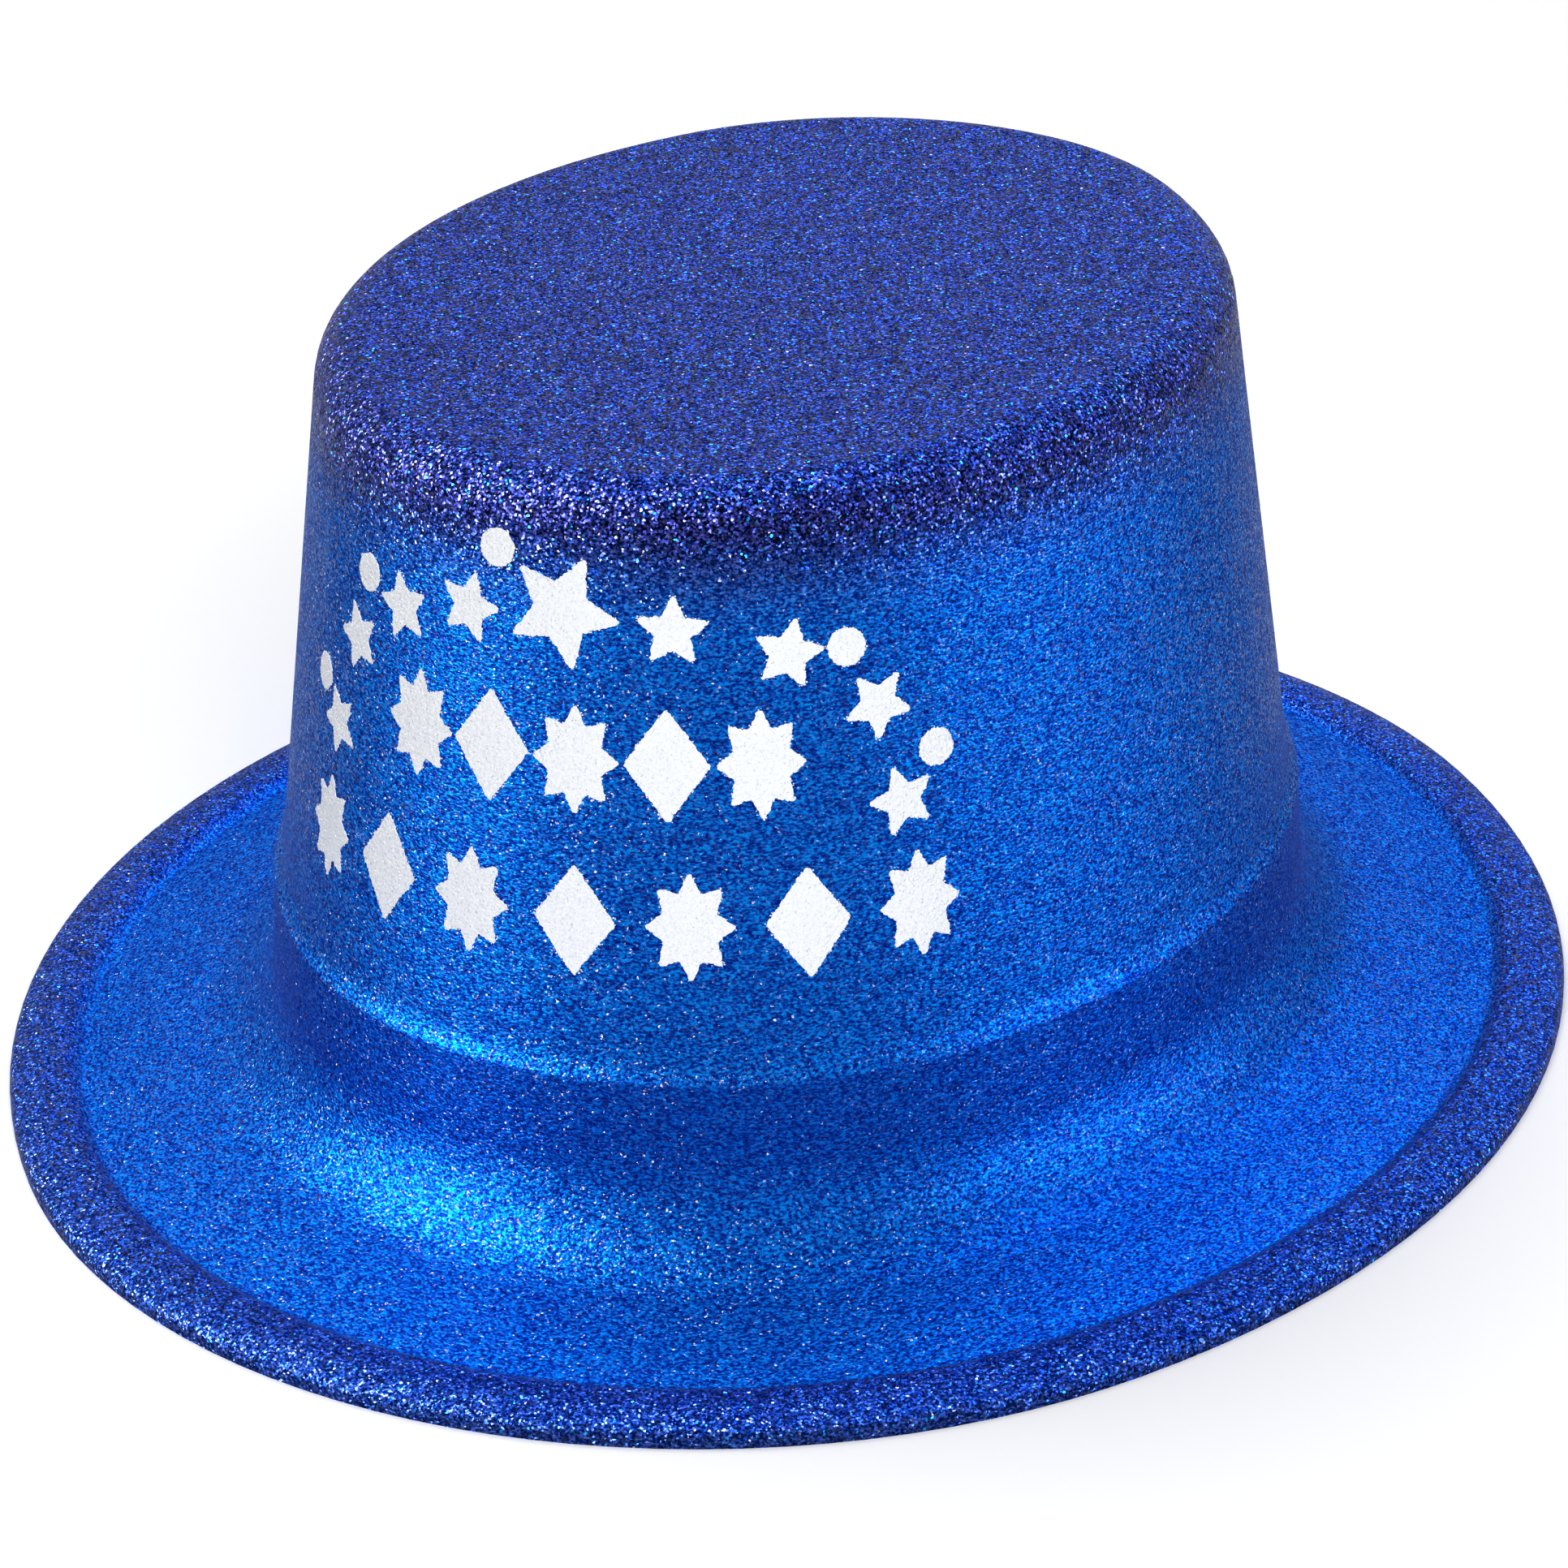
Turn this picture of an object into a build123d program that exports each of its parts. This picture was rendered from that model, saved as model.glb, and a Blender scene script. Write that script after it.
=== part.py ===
"""A one-size plastic party top hat, formed from one glitter-faced sheet.

The hat stands on its rim. +Z is up, the printed front faces -Y, and the origin is on the table,
under the middle of the oval. Every level of the hat is the same four-arc oval, moved in or out.
"""
from build123d import *
from math import atan2, cos, degrees, radians, sin, tan
import os

# Overall sizes, in millimetres and degrees
HEIGHT = 125.0
BRIM_WIDTH = 258.6
BRIM_LENGTH = 300.0
SHELL_THICK = 0.5
FILM_THICK = 0.15
PRINT_THICK = 0.12

# The oval: two end arcs, front and back, and two flatter side arcs
OVAL_EXCESS = (BRIM_LENGTH - BRIM_WIDTH) / 2
END_CENTRE = 32.0
SIDE_CENTRE = OVAL_EXCESS * (2 * END_CENTRE - OVAL_EXCESS) / (2 * (END_CENTRE - OVAL_EXCESS))
SIDE_ANGLE = degrees(atan2(END_CENTRE, SIDE_CENTRE))
END_ANGLE = 90 - SIDE_ANGLE

# The outer line of the hat, from the rim upwards. "Out" is measured from the foot of the crown wall.
BRIM_REACH = 47.4
WALL_HALF_WIDTH = BRIM_WIDTH / 2 - BRIM_REACH
LIP_CORNER_Z = 2.5
RIM_TOP_Z = 3.9
RIM_FALL_OUT = BRIM_REACH - 4.6
RIM_RISE_OUT = BRIM_REACH - 9.9
CREASE_OUT = BRIM_REACH - 12.2
CREASE_Z = 2.3
BRIM_SLOPE = 8.0
BAND_FOOT_OUT = 3.2
BAND_FOOT_Z = CREASE_Z + (CREASE_OUT - BAND_FOOT_OUT) * tan(radians(BRIM_SLOPE))
RIDGE_Z = 34.2
RIDGE_STEP = 1.6
RIDGE_RISE = 1.6
WALL_FOOT_Z = RIDGE_Z + RIDGE_RISE
TOP_DRAW_IN = 11.2
TOP_PLATE_DRAW_IN = 32.0

# Corner radii along that line
TOP_EDGE_RADIUS = 8.0
RIDGE_RADIUS = 5.0
RIDGE_FOOT_RADIUS = 1.2
BRIM_FILLET_RADIUS = 15.0
CREASE_RADIUS = 1.4
RIM_RISE_RADIUS = 3.0
RIM_FALL_RADIUS = 10.0
LIP_RADIUS = 1.9

# The print on the front of the crown wall. Bearings run round the front end arc, + towards +X.
WALL_DRAFT = degrees(atan2(TOP_DRAW_IN, HEIGHT - WALL_FOOT_Z))
PRINT_BEARING = 1.5
PRINT_REACH = 4.0
PRINT_FOOT_Z = WALL_FOOT_Z + 5.0
PRINT_TOP_Z = HEIGHT - TOP_EDGE_RADIUS
PRINT_CORNER_RADIUS = 0.4
MARK_HALF_HEIGHT = 8.9
BURST_HALF_WIDTH = 6.9
BURST_RAYS = 8
BURST_NOTCH = 0.64
LOZENGE_HALF_WIDTH = 6.5
UPPER_ROW_Z = 83.6
UPPER_ROW_PITCH = 12.4
UPPER_ROW_COUNT = 5
LOWER_ROW_Z = 58.6
LOWER_ROW_PITCH = 15.0
LOWER_ROW_COUNT = 7
STAR_POINTS = 5
STAR_NOTCH = 0.48
LARGE_STAR_RADIUS = 9.4
SMALL_STAR_RADIUS = 5.9
DOT_RADIUS = 2.95

# Each star's bearing from the middle of the print, its height and its turn anticlockwise
LARGE_STAR = (-2, 106, 48)
SMALL_STARS = [
    (-44, 76.5, 28),
    (-39.5, 92, 22),
    (-29, 100.5, 15),
    (-16.5, 104, -12),
    (13.5, 104, -2),
    (29, 100, -14),
    (41, 90.5, 34),
    (43.5, 75, 13),
]
DOTS = [
    (-50, 82),
    (-37.5, 103),
    (-12, 114),
    (37, 100),
    (49, 82),
]

# The corners of the hat's outer line, from the flat top outwards and down to the rim
OUTER_CORNERS = [
    (-TOP_PLATE_DRAW_IN, HEIGHT),
    (-TOP_DRAW_IN, HEIGHT),
    (0, WALL_FOOT_Z),
    (RIDGE_STEP, RIDGE_Z),
    (BAND_FOOT_OUT, BAND_FOOT_Z),
    (CREASE_OUT, CREASE_Z),
    (RIM_RISE_OUT, RIM_TOP_Z),
    (RIM_FALL_OUT, RIM_TOP_Z),
    (BRIM_REACH, LIP_CORNER_Z),
    (BRIM_REACH, 0),
]
OUTER_RADII = [
    TOP_EDGE_RADIUS,
    RIDGE_RADIUS,
    RIDGE_FOOT_RADIUS,
    BRIM_FILLET_RADIUS,
    CREASE_RADIUS,
    RIM_RISE_RADIUS,
    RIM_FALL_RADIUS,
    LIP_RADIUS,
]


def run_directions(corners):
    """The unit direction of each straight run between neighbouring corners."""
    runs = [Vector(*end) - Vector(*start) for start, end in zip(corners, corners[1:])]
    return [run.normalized() for run in runs]


def moved_corner(corner, before, after, depth):
    """The corner of two runs after both have moved inwards, to their right, by depth."""
    inwards = Vector(before.Y, -before.X) + Vector(after.Y, -after.X)
    return Vector(*corner) + inwards * (depth / (1 + before.dot(after)))


def line_at_depth(corners, radii, depth):
    """The line through the corners, rounded by the radii and moved inwards by depth."""
    runs = run_directions(corners)
    moved = [Vector(*corners[0]) + Vector(runs[0].Y, -runs[0].X) * depth]
    moved_radii = []
    for corner, radius, before, after in zip(corners[1:], radii, runs, runs[1:]):
        moved.append(moved_corner(corner, before, after, depth))
        turns_right = before.X * after.Y - before.Y * after.X < 0
        moved_radii.append(radius - depth if turns_right else radius + depth)
    moved.append(Vector(*corners[-1]) + Vector(runs[-1].Y, -runs[-1].X) * depth)
    return FilletPolyline(*moved, radius=moved_radii)


def layer_profile(corners, radii, outer_depth, inner_depth):
    """The section of one layer of the sheet, between two depths under the outer line."""
    outer = line_at_depth(corners, radii, outer_depth)
    inner = line_at_depth(corners, radii, inner_depth)
    start_cap = Line(outer @ 0, inner @ 0)
    end_cap = Line(outer @ 1, inner @ 1)
    return make_face(outer.edges() + inner.edges() + [start_cap, end_cap])


def oval_arcs():
    """The centre, wall radius, middle bearing and half angle of the oval's four arcs."""
    side_radius = WALL_HALF_WIDTH + SIDE_CENTRE
    end_radius = WALL_HALF_WIDTH + OVAL_EXCESS - END_CENTRE
    return [
        (Vector(-SIDE_CENTRE, 0), side_radius, 0, SIDE_ANGLE),
        (Vector(0, END_CENTRE), end_radius, 90, END_ANGLE),
        (Vector(SIDE_CENTRE, 0), side_radius, 180, SIDE_ANGLE),
        (Vector(0, -END_CENTRE), end_radius, 270, END_ANGLE),
    ]


def swept_round_oval(profile):
    """The profile taken round the four arcs of the oval, as one solid."""
    segments = []
    for centre, radius, bearing, half_angle in oval_arcs():
        start = radians(bearing - half_angle)
        radial = Vector(cos(start), sin(start))
        section_plane = Plane(origin=centre, x_dir=radial, z_dir=radial.cross(Vector(0, 0, 1)))
        section = section_plane * Pos(radius, 0) * profile
        segments.append(revolve(section, Axis(centre, (0, 0, 1)), 2 * half_angle))
    return segments[0].fuse(*segments[1:])


def oval_plate(draw_in, bottom, thick):
    """A flat oval plate whose edge lies draw_in inside the foot of the crown wall."""
    edges = []
    for centre, radius, bearing, half_angle in oval_arcs():
        edges.append(CenterArc(centre, radius - draw_in, bearing - half_angle, 2 * half_angle))
    return extrude(Pos(0, 0, bottom) * make_face(edges), thick)


def sheet_layer(outer_depth, inner_depth):
    """One layer of the formed sheet over the whole hat."""
    ring = swept_round_oval(layer_profile(OUTER_CORNERS, OUTER_RADII, outer_depth, inner_depth))
    thick = inner_depth - outer_depth
    plate = oval_plate(TOP_PLATE_DRAW_IN, HEIGHT - inner_depth, thick)
    return ring.fuse(plate).clean()


def print_layer():
    """A closed ring of print film that lies on the crown wall, to be cut into marks."""
    wall_slope = TOP_DRAW_IN / (HEIGHT - WALL_FOOT_Z)
    strip = [
        (-(PRINT_TOP_Z - WALL_FOOT_Z) * wall_slope, PRINT_TOP_Z),
        (-(PRINT_FOOT_Z - WALL_FOOT_Z) * wall_slope, PRINT_FOOT_Z),
    ]
    inner = Polyline(*strip)
    outer = Pos(PRINT_THICK * cos(radians(WALL_DRAFT)), PRINT_THICK * sin(radians(WALL_DRAFT))) * inner
    caps = [Line(inner @ 0, outer @ 0), Line(inner @ 1, outer @ 1)]
    return swept_round_oval(make_face(inner.edges() + outer.edges() + caps))


def wall_plane(bearing, height):
    """The plane that touches the front of the crown wall at a bearing and a height."""
    wall_radius = WALL_HALF_WIDTH + OVAL_EXCESS - END_CENTRE
    wall_radius -= (height - WALL_FOOT_Z) * TOP_DRAW_IN / (HEIGHT - WALL_FOOT_Z)
    turn = radians(bearing + PRINT_BEARING)
    draft = radians(WALL_DRAFT)
    origin = Vector(wall_radius * sin(turn), -END_CENTRE - wall_radius * cos(turn), height)
    outwards = Vector(cos(draft) * sin(turn), -cos(draft) * cos(turn), sin(draft))
    return Plane(origin=origin, x_dir=(cos(turn), sin(turn), 0), z_dir=outwards)


def pointed_shape(points, half_width, half_height, notch):
    """A closed shape of equal points, as a star or a burst, with rounded corners."""
    corners = []
    for step in range(2 * points):
        reach = 1 if step % 2 == 0 else notch
        turn = radians(90 + step * 180 / points)
        corners.append((half_width * reach * cos(turn), half_height * reach * sin(turn)))
    face = make_face(Polyline(*corners, close=True))
    return fillet(face.vertices(), PRINT_CORNER_RADIUS)


def star(radius):
    """A five-pointed star."""
    return pointed_shape(STAR_POINTS, radius, radius, STAR_NOTCH)


def burst():
    """An upright eight-rayed burst."""
    return pointed_shape(BURST_RAYS, BURST_HALF_WIDTH, MARK_HALF_HEIGHT, BURST_NOTCH)


def lozenge():
    """An upright lozenge."""
    corners = [
        (0, MARK_HALF_HEIGHT),
        (LOZENGE_HALF_WIDTH, 0),
        (0, -MARK_HALF_HEIGHT),
        (-LOZENGE_HALF_WIDTH, 0),
    ]
    return fillet(make_face(Polyline(*corners, close=True)).vertices(), PRINT_CORNER_RADIUS)


def printed_mark(layer, shape, bearing, height, turn=0):
    """One island of print: the shape laid on the wall and cut from the print layer."""
    placed = wall_plane(bearing, height) * Rot(0, 0, turn) * shape
    return layer & extrude(placed, PRINT_REACH, both=True)


def row_bearings(count, pitch):
    """Evenly spaced bearings of a row, about the middle of the print."""
    return [(place - (count - 1) / 2) * pitch for place in range(count)]


def printed_rows(layer):
    """The two rows of alternating bursts and lozenges."""
    marks = {}
    rows = [
        (UPPER_ROW_Z, row_bearings(UPPER_ROW_COUNT, UPPER_ROW_PITCH)),
        (LOWER_ROW_Z, row_bearings(LOWER_ROW_COUNT, LOWER_ROW_PITCH)),
    ]
    for height, bearings in rows:
        for place, bearing in enumerate(bearings):
            kind, shape = ("burst", burst()) if place % 2 == 0 else ("lozenge", lozenge())
            number = 1 + sum(name.startswith(f"print_{kind}") for name in marks)
            marks[f"print_{kind}_{number}"] = printed_mark(layer, shape, bearing, height)
    return marks


def printed_arch(layer):
    """The stars and dots that arch over the rows."""
    marks = {}
    bearing, height, turn = LARGE_STAR
    marks["print_large_star"] = printed_mark(layer, star(LARGE_STAR_RADIUS), bearing, height, turn)
    for number, (bearing, height, turn) in enumerate(SMALL_STARS, 1):
        shape = star(SMALL_STAR_RADIUS)
        marks[f"print_small_star_{number}"] = printed_mark(layer, shape, bearing, height, turn)
    for number, (bearing, height) in enumerate(DOTS, 1):
        marks[f"print_dot_{number}"] = printed_mark(layer, Circle(DOT_RADIUS), bearing, height)
    return marks


def all_nodes():
    """Every piece of the hat by name."""
    layer = print_layer()
    nodes = {
        "hat_shell": sheet_layer(FILM_THICK, FILM_THICK + SHELL_THICK),
        "glitter_film": sheet_layer(0, FILM_THICK),
    }
    nodes.update(printed_rows(layer))
    nodes.update(printed_arch(layer))
    return nodes


os.makedirs("parts", exist_ok=True)
for node, solid in all_nodes().items():
    export_step(solid, f"parts/{node}.step")
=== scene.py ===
"""Looks for the new year party hat: a formed plastic top hat under blue glitter film, with white print.

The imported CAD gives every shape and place. This script adds the materials, roughens the printed
marks into real ink, and sets up the studio. Lengths are in metres unless a name says otherwise.
"""
import random
from math import cos, radians, sin

import bmesh
import bpy
from mathutils import Matrix, Vector, noise


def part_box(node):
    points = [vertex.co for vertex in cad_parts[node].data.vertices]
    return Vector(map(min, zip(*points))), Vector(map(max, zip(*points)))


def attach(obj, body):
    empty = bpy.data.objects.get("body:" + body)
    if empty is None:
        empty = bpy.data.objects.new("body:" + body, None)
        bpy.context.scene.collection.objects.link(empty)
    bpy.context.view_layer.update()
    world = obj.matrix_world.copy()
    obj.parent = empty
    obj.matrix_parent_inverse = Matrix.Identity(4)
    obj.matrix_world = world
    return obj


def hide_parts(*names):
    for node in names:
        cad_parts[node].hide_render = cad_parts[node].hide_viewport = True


MM = 0.001

# Camera: it looks slightly down on the printed front, from the wearer's left
CAMERA_AZIMUTH = 20.5
CAMERA_ELEVATION = 25.6
CAMERA_ROLL = -1.4
CAMERA_DISTANCE = 0.815
CAMERA_AIM_HEIGHT = 0.0351
CAMERA_AIM_RIGHT = -0.0015
CAMERA_LENS_MM = 111.0

# Studio. The floor is small enough to end where it is still as white as the room behind it
FLOOR_SIZE = 2.4
FLOOR_COLOUR = (0.97, 0.97, 0.97, 1)
FLOOR_BOUNCE = (0.45, 0.45, 0.46, 1)
FLOOR_ROUGHNESS = 0.9
WORLD_HORIZON = 0.40
WORLD_ZENITH = 0.12
WORLD_SEEN = 1.0
WORLD_BRIGHT_BELOW = 0.35
WORLD_DIM_ABOVE = 0.8
WHITE_LIGHT = (1.0, 1.0, 1.0)
AZURE_LIGHT = (0.1, 0.5, 1.0)
PALE_BLUE_LIGHT = (0.5, 0.7, 1.0)
LIGHT_AIM_HEIGHT = 0.06

# Soft boxes: name, azimuth from the camera and elevation in degrees, distance, width, height, watts
# and colour. The shine lights only make highlights and sparkles; the fill lights only light plain
# surfaces
SHINE_LIGHTS = [
    ("key", -85, 44, 1.3, 0.8, 0.8, 56, WHITE_LIGHT),
    ("low_key", -66, 9, 1.3, 0.4, 0.4, 18, WHITE_LIGHT),
    ("right_panel", 152, 49, 1.6, 1.3, 0.5, 22, AZURE_LIGHT),
    ("top_panel", 172, 68, 1.3, 1.6, 0.5, 20, AZURE_LIGHT),
    ("side_panel", 78, 14, 1.6, 0.9, 0.7, 32, PALE_BLUE_LIGHT),
]
FILL_LIGHTS = [
    ("front_fill", 10, 30, 1.8, 1.0, 0.8, 27, WHITE_LIGHT),
    ("top_fill", -150, 60, 1.6, 1.2, 1.2, 20, WHITE_LIGHT),
]

# Glitter film. The colours run from its darkest grains and furrows to its brightest grains and crests;
# the furrows are darker and the crests lighter as painted shade of the wrinkles
FLAKES_PER_MM = 3.1
GRAINY_COLOURS = [
    (0.30, (0.000, 0.002, 0.020, 1)),
    (0.50, (0.006, 0.011, 0.080, 1)),
    (0.72, (0.048, 0.054, 0.350, 1)),
    (1.00, (0.120, 0.140, 0.800, 1)),
]
DRAWN_COLOURS = [
    (0.12, (0.001, 0.011, 0.160, 1)),
    (0.50, (0.002, 0.058, 0.410, 1)),
    (1.00, (0.002, 0.260, 0.850, 1)),
]
BRIGHT_FLAKE = (0.02, 0.40, 1.00, 1)
BRIGHT_FLAKE_SHARE = 0.015
EDGE_TINT = (0.6, 0.65, 0.9, 1)
SHEEN_TINT = (0.7, 0.75, 1, 1)
SHEEN_WEIGHT = 0.05
SHEEN_ROUGHNESS = 0.2

# Wrinkles of the drawn film
WRINKLES_ALONG_PER_MM = 1.6
WRINKLES_UP_PER_MM = 3.0
WRINKLES_OUT_PER_MM = 1.6
WRINKLE_DEPTH = 0.25 * MM
# Wrinkle heights where the colour's painted shade turns from the dark furrows to the light crests
WRINKLE_FURROW = 0.33
WRINKLE_CREST = 0.67
OVAL_ACROSS = 0.82
OVAL_ALONG = 1.03

# Where the film is drawn out, and where it keeps its grain
RIM_WIDTH_MM = 12.2
RIM_BLEND = 0.02
RIM_DRAWN = 0.3
# The band between the ridge and the foot of the fillet is darkened by the band shade factor: painted
# shade under the ridge and above the brim
BAND_TOP_MM = 34.2
BAND_EDGE_MM = 1.0
BAND_FULL_MM = 26.2
BAND_FOOT_MM = 10.0
BAND_PAINTED_SHADE = 0.78
TOP_BLEND_START_MM = 5.0
TOP_BLEND_END_MM = 22.0

# How the film changes from grainy to drawn: each pair is (value where grainy, value where drawn)
# How much of the film's colour comes from the painted shade of the wrinkles rather than the flakes' own
# grain
PAINTED_WRINKLE_SHADE_SHARE = (0.3, 0.7)
FILM_METALLIC = (0.8, 0.36)
FILM_ROUGHNESS = (0.28, 0.32)
BUMP_STRENGTH = (0.1, 1.0)
FLAKE_LEAN = (1.1, 0.25)
GLOSSY_SHARE = (0.16, 0.20)
DULL_COAT = (0.05, 0.02)

# The clear face over the flakes: some cells are glossy, and each leans by its own amount
GLOSSY_COAT = 0.9
COAT_IOR = 1.5
COAT_ROUGHNESS = 0.1
COAT_LEAN = (0.6, 1.4)
DULL_GRAIN_FROM = 0.3
DULL_GRAIN_TO = 0.9

# The bare back of the sheet
SHELL_COLOURS = [
    (0.30, (0.012, 0.030, 0.200, 1)),
    (0.70, (0.020, 0.050, 0.290, 1)),
]
SHELL_CLOUDS_PER_MM = 0.05
SHELL_DIMPLES_PER_MM = 0.9
SHELL_DIMPLE_DEPTH = 0.05 * MM
SHELL_ROUGHNESS = (0.34, 0.50)

# Ink
INK_COLOURS = [
    (0.24, (0.40, 0.48, 0.70, 1)),
    (0.36, (0.76, 0.79, 0.84, 1)),
    (0.62, (0.88, 0.90, 0.92, 1)),
]
INK_ROUGHNESS = 0.8
INK_GLOSS = 0.3
INK_GRAIN_PER_MM = 2.4
INK_GRAIN_DEPTH = 0.06 * MM
INK_EDGE_STEP = 0.2 * MM
INK_SPLIT_ROUNDS = 6
INK_ROUGH_EDGES = [(1.0, 0.14), (2.5, 0.22), (6.0, 0.12)]   # (waves per mm, reach in mm)
SPECKS_PER_MARK = 120
SPECK_SPREAD = 0.32 * MM
SPECK_RADIUS = 0.2 * MM
SPECK_HEIGHT = 0.08 * MM
SPECK_SMALLEST = 0.4
SPECK_NARROWEST = 0.6
SPECK_EDGE_FACING = (0.1, 0.8)
WELD_DISTANCE = 0.002 * MM
RANDOM_SEED = 31


# ---------------------------------------------------------------- node helpers
def new_material(name):
    """An empty material with a Principled shader wired to its output."""
    material = bpy.data.materials.new(name)
    material.use_nodes = True
    tree = material.node_tree
    return material, tree, tree.nodes["Principled BSDF"]


def add_node(tree, kind, inputs=None, **settings):
    """A new node with its settings, and its inputs given as values or as sockets to link."""
    made = tree.nodes.new(kind)
    for name, value in settings.items():
        setattr(made, name, value)
    for name, value in (inputs or {}).items():
        if isinstance(value, bpy.types.NodeSocket):
            tree.links.new(value, made.inputs[name])
        else:
            made.inputs[name].default_value = value
    return made


def math_node(tree, operation, first, second=0.0):
    """The result of one sum on two numbers or sockets."""
    return add_node(tree, "ShaderNodeMath", {0: first, 1: second}, operation=operation).outputs[0]


def vector_node(tree, operation, first, second=(0, 0, 0)):
    """The result of one sum on two vectors."""
    inputs = {0: first, 1: second}
    return add_node(tree, "ShaderNodeVectorMath", inputs, operation=operation).outputs[0]


def colour_steps(tree, factor, steps):
    """A smooth colour ramp through (place, colour) steps."""
    ramp = add_node(tree, "ShaderNodeValToRGB", {"Fac": factor})
    elements = ramp.color_ramp.elements
    elements[0].position, elements[0].color = steps[0]
    elements[1].position, elements[1].color = steps[-1]
    for place, colour in steps[1:-1]:
        elements.new(place).color = colour
    return ramp.outputs["Color"]


def millimetres(tree):
    """The surface point in millimetres."""
    point = add_node(tree, "ShaderNodeTexCoord").outputs["Object"]
    return vector_node(tree, "MULTIPLY", point, (1 / MM, 1 / MM, 1 / MM))


# ---------------------------------------------------------------- materials
def oval_reach(tree, x, y, half_width, half_length):
    """The distance out from the middle, as a share of an oval of this half width and half length."""
    across = math_node(tree, "POWER", math_node(tree, "DIVIDE", x, half_width), 2.0)
    along = math_node(tree, "POWER", math_node(tree, "DIVIDE", y, half_length), 2.0)
    return math_node(tree, "SQRT", math_node(tree, "ADD", across, along))


def fade(tree, value, zero_at, one_at, low=0.0, high=1.0):
    """A smooth step that turns from low at one value to high at another."""
    inputs = {"Value": value, "From Min": zero_at, "From Max": one_at, "To Min": low, "To Max": high}
    return add_node(tree, "ShaderNodeMapRange", inputs, interpolation_type="SMOOTHSTEP").outputs["Result"]


def mix_colours(tree, share, first, second):
    """The first colour where share is 0, the second where it is 1."""
    inputs = {"Factor": share, 6: first, 7: second}
    return add_node(tree, "ShaderNodeMix", inputs, data_type="RGBA").outputs[2]


def drawn_share(tree, parts):
    """1 where the mould drew the film out, and 0 on the top and the rim, where it kept its grain."""
    half_width, half_length, height = (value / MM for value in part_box("glitter_film")[1])
    reach = oval_reach(tree, parts.outputs["X"], parts.outputs["Y"],
                       half_width - RIM_WIDTH_MM, half_length - RIM_WIDTH_MM)
    inside_rim = fade(tree, reach, 1 + RIM_BLEND, 1.0, RIM_DRAWN, 1.0)
    under_top = fade(tree, parts.outputs["Z"], height - TOP_BLEND_START_MM, height - TOP_BLEND_END_MM)
    return math_node(tree, "MULTIPLY", inside_rim, under_top)


def band_share(tree, parts):
    """Where the band gets its painted shade: 1 on the band below the ridge, and 0 above the ridge and at
    the foot of the fillet.
    """
    below_ridge = fade(tree, parts.outputs["Z"], BAND_TOP_MM + BAND_EDGE_MM, BAND_TOP_MM - BAND_EDGE_MM)
    above_foot = fade(tree, parts.outputs["Z"], BAND_FOOT_MM, BAND_FULL_MM)
    return math_node(tree, "MULTIPLY", below_ridge, above_foot)


def wrinkle_height(tree, point, parts):
    """Fine leathery wrinkles that run round the hat, from drawing the sheet over the mould."""
    reach = oval_reach(tree, parts.outputs["X"], parts.outputs["Y"], OVAL_ACROSS, OVAL_ALONG)
    outwards = math_node(tree, "MULTIPLY", reach, WRINKLES_OUT_PER_MM)
    scales = (WRINKLES_ALONG_PER_MM, WRINKLES_ALONG_PER_MM, WRINKLES_UP_PER_MM)
    stretched = vector_node(tree, "MULTIPLY", point, scales)
    inputs = {"Vector": stretched, "W": outwards, "Scale": 1.0, "Detail": 1.0, "Roughness": 0.5}
    return add_node(tree, "ShaderNodeTexNoise", inputs, noise_dimensions="4D").outputs["Fac"]


def tilted(tree, normal, dice, tilt):
    """A normal leaned over at random by each flake's own dice."""
    lean = vector_node(tree, "SUBTRACT", dice, (0.5, 0.5, 0.5))
    lean = add_node(tree, "ShaderNodeVectorMath", {0: lean, "Scale": tilt}, operation="SCALE").outputs[0]
    return vector_node(tree, "NORMALIZE", vector_node(tree, "ADD", normal, lean))


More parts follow.
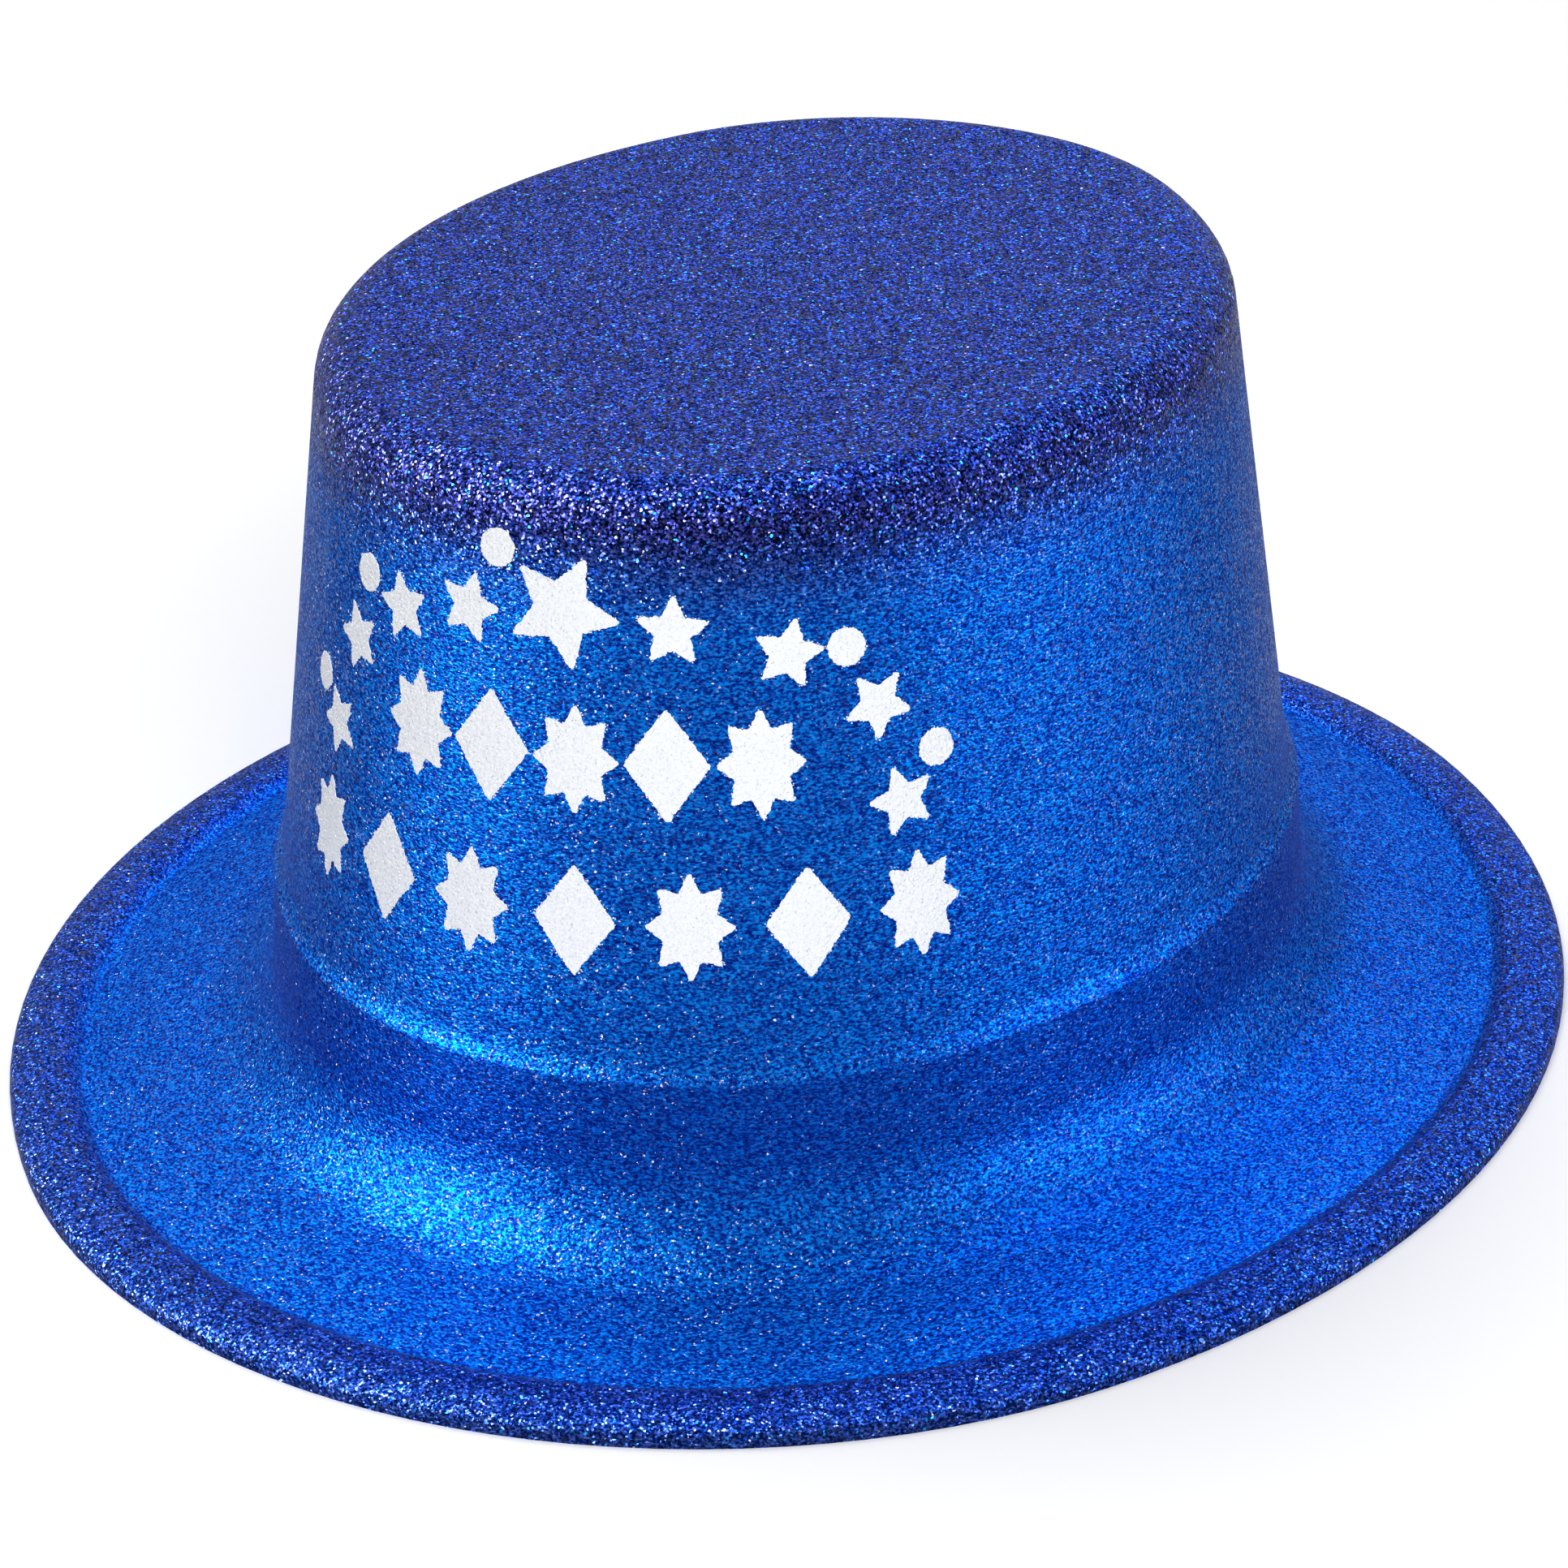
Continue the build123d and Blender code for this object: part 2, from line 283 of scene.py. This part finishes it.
def glitter_material():
    """Blue flakes under a clear face: violet and grainy as supplied, azure and wrinkled where drawn."""
    material, tree, shader = new_material("blue_glitter")
    point = millimetres(tree)
    parts = add_node(tree, "ShaderNodeSeparateXYZ", {"Vector": point})
    drawn = drawn_share(tree, parts)
    flakes = add_node(tree, "ShaderNodeTexVoronoi", {"Vector": point, "Scale": FLAKES_PER_MM})
    dice = add_node(tree, "ShaderNodeSeparateColor", {"Color": flakes.outputs["Color"]})
    lean_inputs = {"Vector": flakes.outputs["Position"]}
    lean = add_node(tree, "ShaderNodeTexWhiteNoise", lean_inputs).outputs["Color"]
    wrinkles = wrinkle_height(tree, point, parts)

    grain = dice.outputs["Red"]
    # The wrinkle height also sets the colour: painted shade, darker in the furrows and lighter on the
    # crests, mixed with the flakes' own random grain
    painted_wrinkle_shade = fade(tree, wrinkles, WRINKLE_FURROW, WRINKLE_CREST)
    painted_wrinkle_shade_share = fade(tree, drawn, 0.0, 1.0, *PAINTED_WRINKLE_SHADE_SHARE)
    grain_and_painted_shade = add_node(tree, "ShaderNodeMix", {0: painted_wrinkle_shade_share, 2: grain, 3: painted_wrinkle_shade}).outputs[0]
    # Painted shade: the band below the ridge is darkened
    band_painted_shade = fade(tree, band_share(tree, parts), 0.0, 1.0, 1.0, BAND_PAINTED_SHADE)
    azure = colour_steps(tree, math_node(tree, "MULTIPLY", grain_and_painted_shade, band_painted_shade), DRAWN_COLOURS)
    grainy = colour_steps(tree, grain_and_painted_shade, GRAINY_COLOURS)
    bright = math_node(tree, "LESS_THAN", dice.outputs["Green"], BRIGHT_FLAKE_SHARE)
    colour = mix_colours(tree, drawn, mix_colours(tree, bright, grainy, BRIGHT_FLAKE), azure)
    tree.links.new(colour, shader.inputs["Base Color"])
    tree.links.new(fade(tree, drawn, 0.0, 1.0, *FILM_METALLIC), shader.inputs["Metallic"])
    tree.links.new(fade(tree, drawn, 0.0, 1.0, *FILM_ROUGHNESS), shader.inputs["Roughness"])
    shader.inputs["Specular Tint"].default_value = EDGE_TINT
    shader.inputs["Sheen Weight"].default_value = SHEEN_WEIGHT
    shader.inputs["Sheen Roughness"].default_value = SHEEN_ROUGHNESS
    shader.inputs["Sheen Tint"].default_value = SHEEN_TINT
    shader.inputs["Specular IOR Level"].default_value = 0.0

    bump_strength = fade(tree, drawn, 0.0, 1.0, *BUMP_STRENGTH)
    bump_inputs = {"Height": wrinkles, "Distance": WRINKLE_DEPTH, "Strength": bump_strength}
    wrinkled = add_node(tree, "ShaderNodeBump", bump_inputs).outputs["Normal"]
    flake_lean = fade(tree, drawn, 0.0, 1.0, *FLAKE_LEAN)
    tree.links.new(tilted(tree, wrinkled, lean, flake_lean), shader.inputs["Normal"])

    glossy_share = fade(tree, drawn, 0.0, 1.0, *GLOSSY_SHARE)
    glossy = math_node(tree, "LESS_THAN", dice.outputs["Blue"], glossy_share)
    dull = math_node(tree, "MULTIPLY", fade(tree, drawn, 0.0, 1.0, *DULL_COAT),
                     fade(tree, grain, DULL_GRAIN_FROM, DULL_GRAIN_TO))
    tree.links.new(add_node(tree, "ShaderNodeMix", {0: glossy, 2: dull, 3: GLOSSY_COAT}).outputs[0],
                   shader.inputs["Coat Weight"])
    shader.inputs["Coat IOR"].default_value = COAT_IOR
    shader.inputs["Coat Roughness"].default_value = COAT_ROUGHNESS
    coat_lean = fade(tree, dice.outputs["Green"], 0.0, 1.0, *COAT_LEAN)
    tree.links.new(tilted(tree, wrinkled, lean, coat_lean), shader.inputs["Coat Normal"])
    return material


def shell_material():
    """The bare back of the formed sheet: satin blue plastic with a faint dimpled face."""
    material, tree, shader = new_material("shell_plastic")
    point = millimetres(tree)
    cloud_inputs = {"Vector": point, "Scale": SHELL_CLOUDS_PER_MM, "Detail": 3.0}
    cloud = add_node(tree, "ShaderNodeTexNoise", cloud_inputs).outputs["Fac"]
    tree.links.new(colour_steps(tree, cloud, SHELL_COLOURS), shader.inputs["Base Color"])
    dimple_inputs = {"Vector": point, "Scale": SHELL_DIMPLES_PER_MM, "Detail": 2.0}
    dimples = add_node(tree, "ShaderNodeTexNoise", dimple_inputs).outputs["Fac"]
    smoothest, roughest = SHELL_ROUGHNESS
    range_inputs = {"Value": dimples, "To Min": smoothest, "To Max": roughest}
    rough = add_node(tree, "ShaderNodeMapRange", range_inputs).outputs["Result"]
    tree.links.new(rough, shader.inputs["Roughness"])
    bump_inputs = {"Height": dimples, "Distance": SHELL_DIMPLE_DEPTH, "Strength": 1.0}
    tree.links.new(add_node(tree, "ShaderNodeBump", bump_inputs).outputs["Normal"],
                   shader.inputs["Normal"])
    return material


def ink_material():
    """Matte white ink with a fine grain and small pits where the film shows through."""
    material, tree, shader = new_material("white_print")
    point = millimetres(tree)
    grain_inputs = {"Vector": point, "Scale": INK_GRAIN_PER_MM, "Detail": 3.0, "Roughness": 0.6}
    grain = add_node(tree, "ShaderNodeTexNoise", grain_inputs).outputs["Fac"]
    tree.links.new(colour_steps(tree, grain, INK_COLOURS), shader.inputs["Base Color"])
    shader.inputs["Roughness"].default_value = INK_ROUGHNESS
    shader.inputs["Specular IOR Level"].default_value = INK_GLOSS
    bump_inputs = {"Height": grain, "Distance": INK_GRAIN_DEPTH, "Strength": 1.0}
    tree.links.new(add_node(tree, "ShaderNodeBump", bump_inputs).outputs["Normal"],
                   shader.inputs["Normal"])
    return material


def floor_material():
    """Plain pale paper that throws only part of its light back onto the hat."""
    material, tree, shader = new_material("floor")
    seen = add_node(tree, "ShaderNodeLightPath").outputs["Is Camera Ray"]
    tree.links.new(mix_colours(tree, seen, FLOOR_BOUNCE, FLOOR_COLOUR), shader.inputs["Base Color"])
    shader.inputs["Roughness"].default_value = FLOOR_ROUGHNESS
    shader.inputs["Specular IOR Level"].default_value = 0.0
    return material


# ---------------------------------------------------------------- pieces
def set_material(piece, material):
    """Gives a piece one material."""
    piece.data.materials.clear()
    piece.data.materials.append(material)


def split_long_edges(mesh, longest):
    """Splits edges, round by round, until none is longer than longest."""
    for _ in range(INK_SPLIT_ROUNDS):
        long_edges = [edge for edge in mesh.edges if edge.calc_length() > longest]
        if not long_edges:
            return
        bmesh.ops.subdivide_edges(mesh, edges=long_edges, cuts=1)
        bmesh.ops.triangulate(mesh, faces=mesh.faces[:])


def ragged(point, outwards):
    """The point moved along the wall by the roughness of an ink edge, coarse to fine."""
    moved = point.copy()
    for per_mm, reach_mm in INK_ROUGH_EDGES:
        shift = noise.noise_vector(point * (per_mm / MM)) * reach_mm * MM
        moved += shift - outwards * shift.dot(outwards)
    return moved


def unit_grain():
    """The corners and faces of a small round grain with a radius of one."""
    mesh = bmesh.new()
    bmesh.ops.create_icosphere(mesh, subdivisions=1, radius=1.0)
    mesh.verts.index_update()
    corners = [vertex.co.copy() for vertex in mesh.verts]
    faces = [[vertex.index for vertex in face.verts] for face in mesh.faces]
    mesh.free()
    return corners, faces


def add_specks(mesh, outwards, film, dice):
    """Specks of ink on the film, scattered along a mark's outline, which make its edge furry."""
    corners, faces = unit_grain()
    mesh.normal_update()
    least, most = SPECK_EDGE_FACING
    edge = [vertex for vertex in mesh.verts if least < vertex.normal.dot(outwards) < most]
    starts = [dice.choice(edge) for _ in range(SPECKS_PER_MARK)]
    for start in starts:
        away = (start.normal - outwards * start.normal.dot(outwards)).normalized()
        aim = start.co + away * SPECK_SPREAD * dice.uniform(0.0, 1.0)
        place, normal = film.closest_point_on_mesh(aim)[1:3]
        turn = normal.to_track_quat("Z", "Y").to_matrix().to_4x4()
        radius = SPECK_RADIUS * dice.uniform(SPECK_SMALLEST, 1.0)
        size = Matrix.Diagonal((radius, radius * dice.uniform(SPECK_NARROWEST, 1.0), SPECK_HEIGHT, 1))
        stamp = Matrix.Translation(place) @ turn @ size
        placed = [mesh.verts.new(stamp @ corner) for corner in corners]
        for face in faces:
            mesh.faces.new([placed[index] for index in face])


def ink_mark(cad_mark, material, film, dice):
    """Replaces a printed mark with ink: the same island with ragged edges and stray specks round it."""
    low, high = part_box(cad_mark.name)
    middle = (Vector(low) + Vector(high)) / 2
    outwards = Vector((middle.x, middle.y, 0)).normalized()
    mesh = bmesh.new()
    mesh.from_mesh(cad_mark.data)
    bmesh.ops.remove_doubles(mesh, verts=mesh.verts, dist=WELD_DISTANCE)
    split_long_edges(mesh, INK_EDGE_STEP)
    for vertex in mesh.verts:
        vertex.co = ragged(vertex.co, outwards)
    add_specks(mesh, outwards, film, dice)
    data = bpy.data.meshes.new(cad_mark.name + "_ink")
    mesh.to_mesh(data)
    mesh.free()
    piece = bpy.data.objects.new(cad_mark.name + "_ink", data)
    bpy.context.scene.collection.objects.link(piece)
    set_material(piece, material)
    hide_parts(cad_mark.name)
    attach(piece, "root")


# ---------------------------------------------------------------- studio
def direction(azimuth, elevation):
    """The unit vector from the object towards a camera or light at this azimuth and elevation."""
    turn, rise = radians(azimuth), radians(elevation)
    return Vector((sin(turn) * cos(rise), -cos(turn) * cos(rise), sin(rise)))


def make_camera():
    """The camera, at the viewing angle of the reference."""
    back = direction(CAMERA_AZIMUTH, CAMERA_ELEVATION)
    level_right = Vector((cos(radians(CAMERA_AZIMUTH)), sin(radians(CAMERA_AZIMUTH)), 0))
    level_up = back.cross(level_right)
    roll = radians(CAMERA_ROLL)
    right = level_right * cos(roll) + level_up * sin(roll)
    up = level_up * cos(roll) - level_right * sin(roll)
    data = bpy.data.cameras.new("camera")
    data.lens = CAMERA_LENS_MM
    camera = bpy.data.objects.new("camera", data)
    bpy.context.scene.collection.objects.link(camera)
    turn = Matrix((right, up, back)).transposed().to_4x4()
    place = Vector((0, 0, CAMERA_AIM_HEIGHT)) + right * CAMERA_AIM_RIGHT + back * CAMERA_DISTANCE
    camera.matrix_world = Matrix.Translation(place) @ turn
    bpy.context.scene.camera = camera


def make_light(name, azimuth, elevation, distance, width, height, watts, colour):
    """A soft box that faces the hat. Its azimuth is counted from the camera, + to the right."""
    data = bpy.data.lights.new(name, "AREA")
    data.shape = "RECTANGLE"
    data.size = width
    data.size_y = height
    data.energy = watts
    data.color = colour
    light = bpy.data.objects.new(name, data)
    bpy.context.scene.collection.objects.link(light)
    towards = direction(CAMERA_AZIMUTH + azimuth, elevation)
    light.location = towards * distance + Vector((0, 0, LIGHT_AIM_HEIGHT))
    light.rotation_mode = "QUATERNION"
    light.rotation_quaternion = towards.to_track_quat("Z", "Y")
    return light


def make_world():
    """A white room, brightest round the walls, seen by the camera as plain white paper."""
    world = bpy.data.worlds.new("studio")
    world.use_nodes = True
    bpy.context.scene.world = world
    tree = world.node_tree
    towards = add_node(tree, "ShaderNodeTexCoord").outputs["Generated"]
    rise = add_node(tree, "ShaderNodeSeparateXYZ", {"Vector": towards}).outputs["Z"]
    lit = fade(tree, rise, WORLD_BRIGHT_BELOW, WORLD_DIM_ABOVE, WORLD_HORIZON, WORLD_ZENITH)
    seen = add_node(tree, "ShaderNodeLightPath").outputs["Is Camera Ray"]
    background = tree.nodes["Background"]
    background.inputs["Color"].default_value = (1, 1, 1, 1)
    strength = add_node(tree, "ShaderNodeMix", {0: seen, 2: lit, 3: WORLD_SEEN}).outputs[0]
    tree.links.new(strength, background.inputs["Strength"])


def make_floor():
    """The pale floor that the hat stands on."""
    bpy.ops.mesh.primitive_plane_add(size=FLOOR_SIZE)
    floor = bpy.context.object
    floor.name = "floor"
    set_material(floor, floor_material())


def make_studio():
    """Floor, world and soft boxes."""
    make_floor()
    make_world()
    for light in SHINE_LIGHTS:
        make_light(*light).visible_diffuse = False
    for light in FILL_LIGHTS:
        make_light(*light).visible_glossy = False
    bpy.context.scene.view_settings.view_transform = "Standard"


def corners(box):
    """A box's two corners as plain lists."""
    return [list(corner) for corner in box]


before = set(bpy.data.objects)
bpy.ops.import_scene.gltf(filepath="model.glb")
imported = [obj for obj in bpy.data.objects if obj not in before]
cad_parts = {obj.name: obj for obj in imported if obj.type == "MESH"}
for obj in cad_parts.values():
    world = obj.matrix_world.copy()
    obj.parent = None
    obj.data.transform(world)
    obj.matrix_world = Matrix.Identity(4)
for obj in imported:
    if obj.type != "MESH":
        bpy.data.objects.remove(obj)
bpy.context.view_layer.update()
set_material(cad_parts["hat_shell"], shell_material())
set_material(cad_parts["glitter_film"], glitter_material())
ink = ink_material()
# Blender's own noise starts from the clock unless it is given a seed
noise.seed_set(RANDOM_SEED)
speck_dice = random.Random(RANDOM_SEED)
for name, cad_node in sorted(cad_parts.items()):
    if name.startswith("print_"):
        ink_mark(cad_node, ink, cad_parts["glitter_film"], speck_dice)
make_camera()
make_studio()
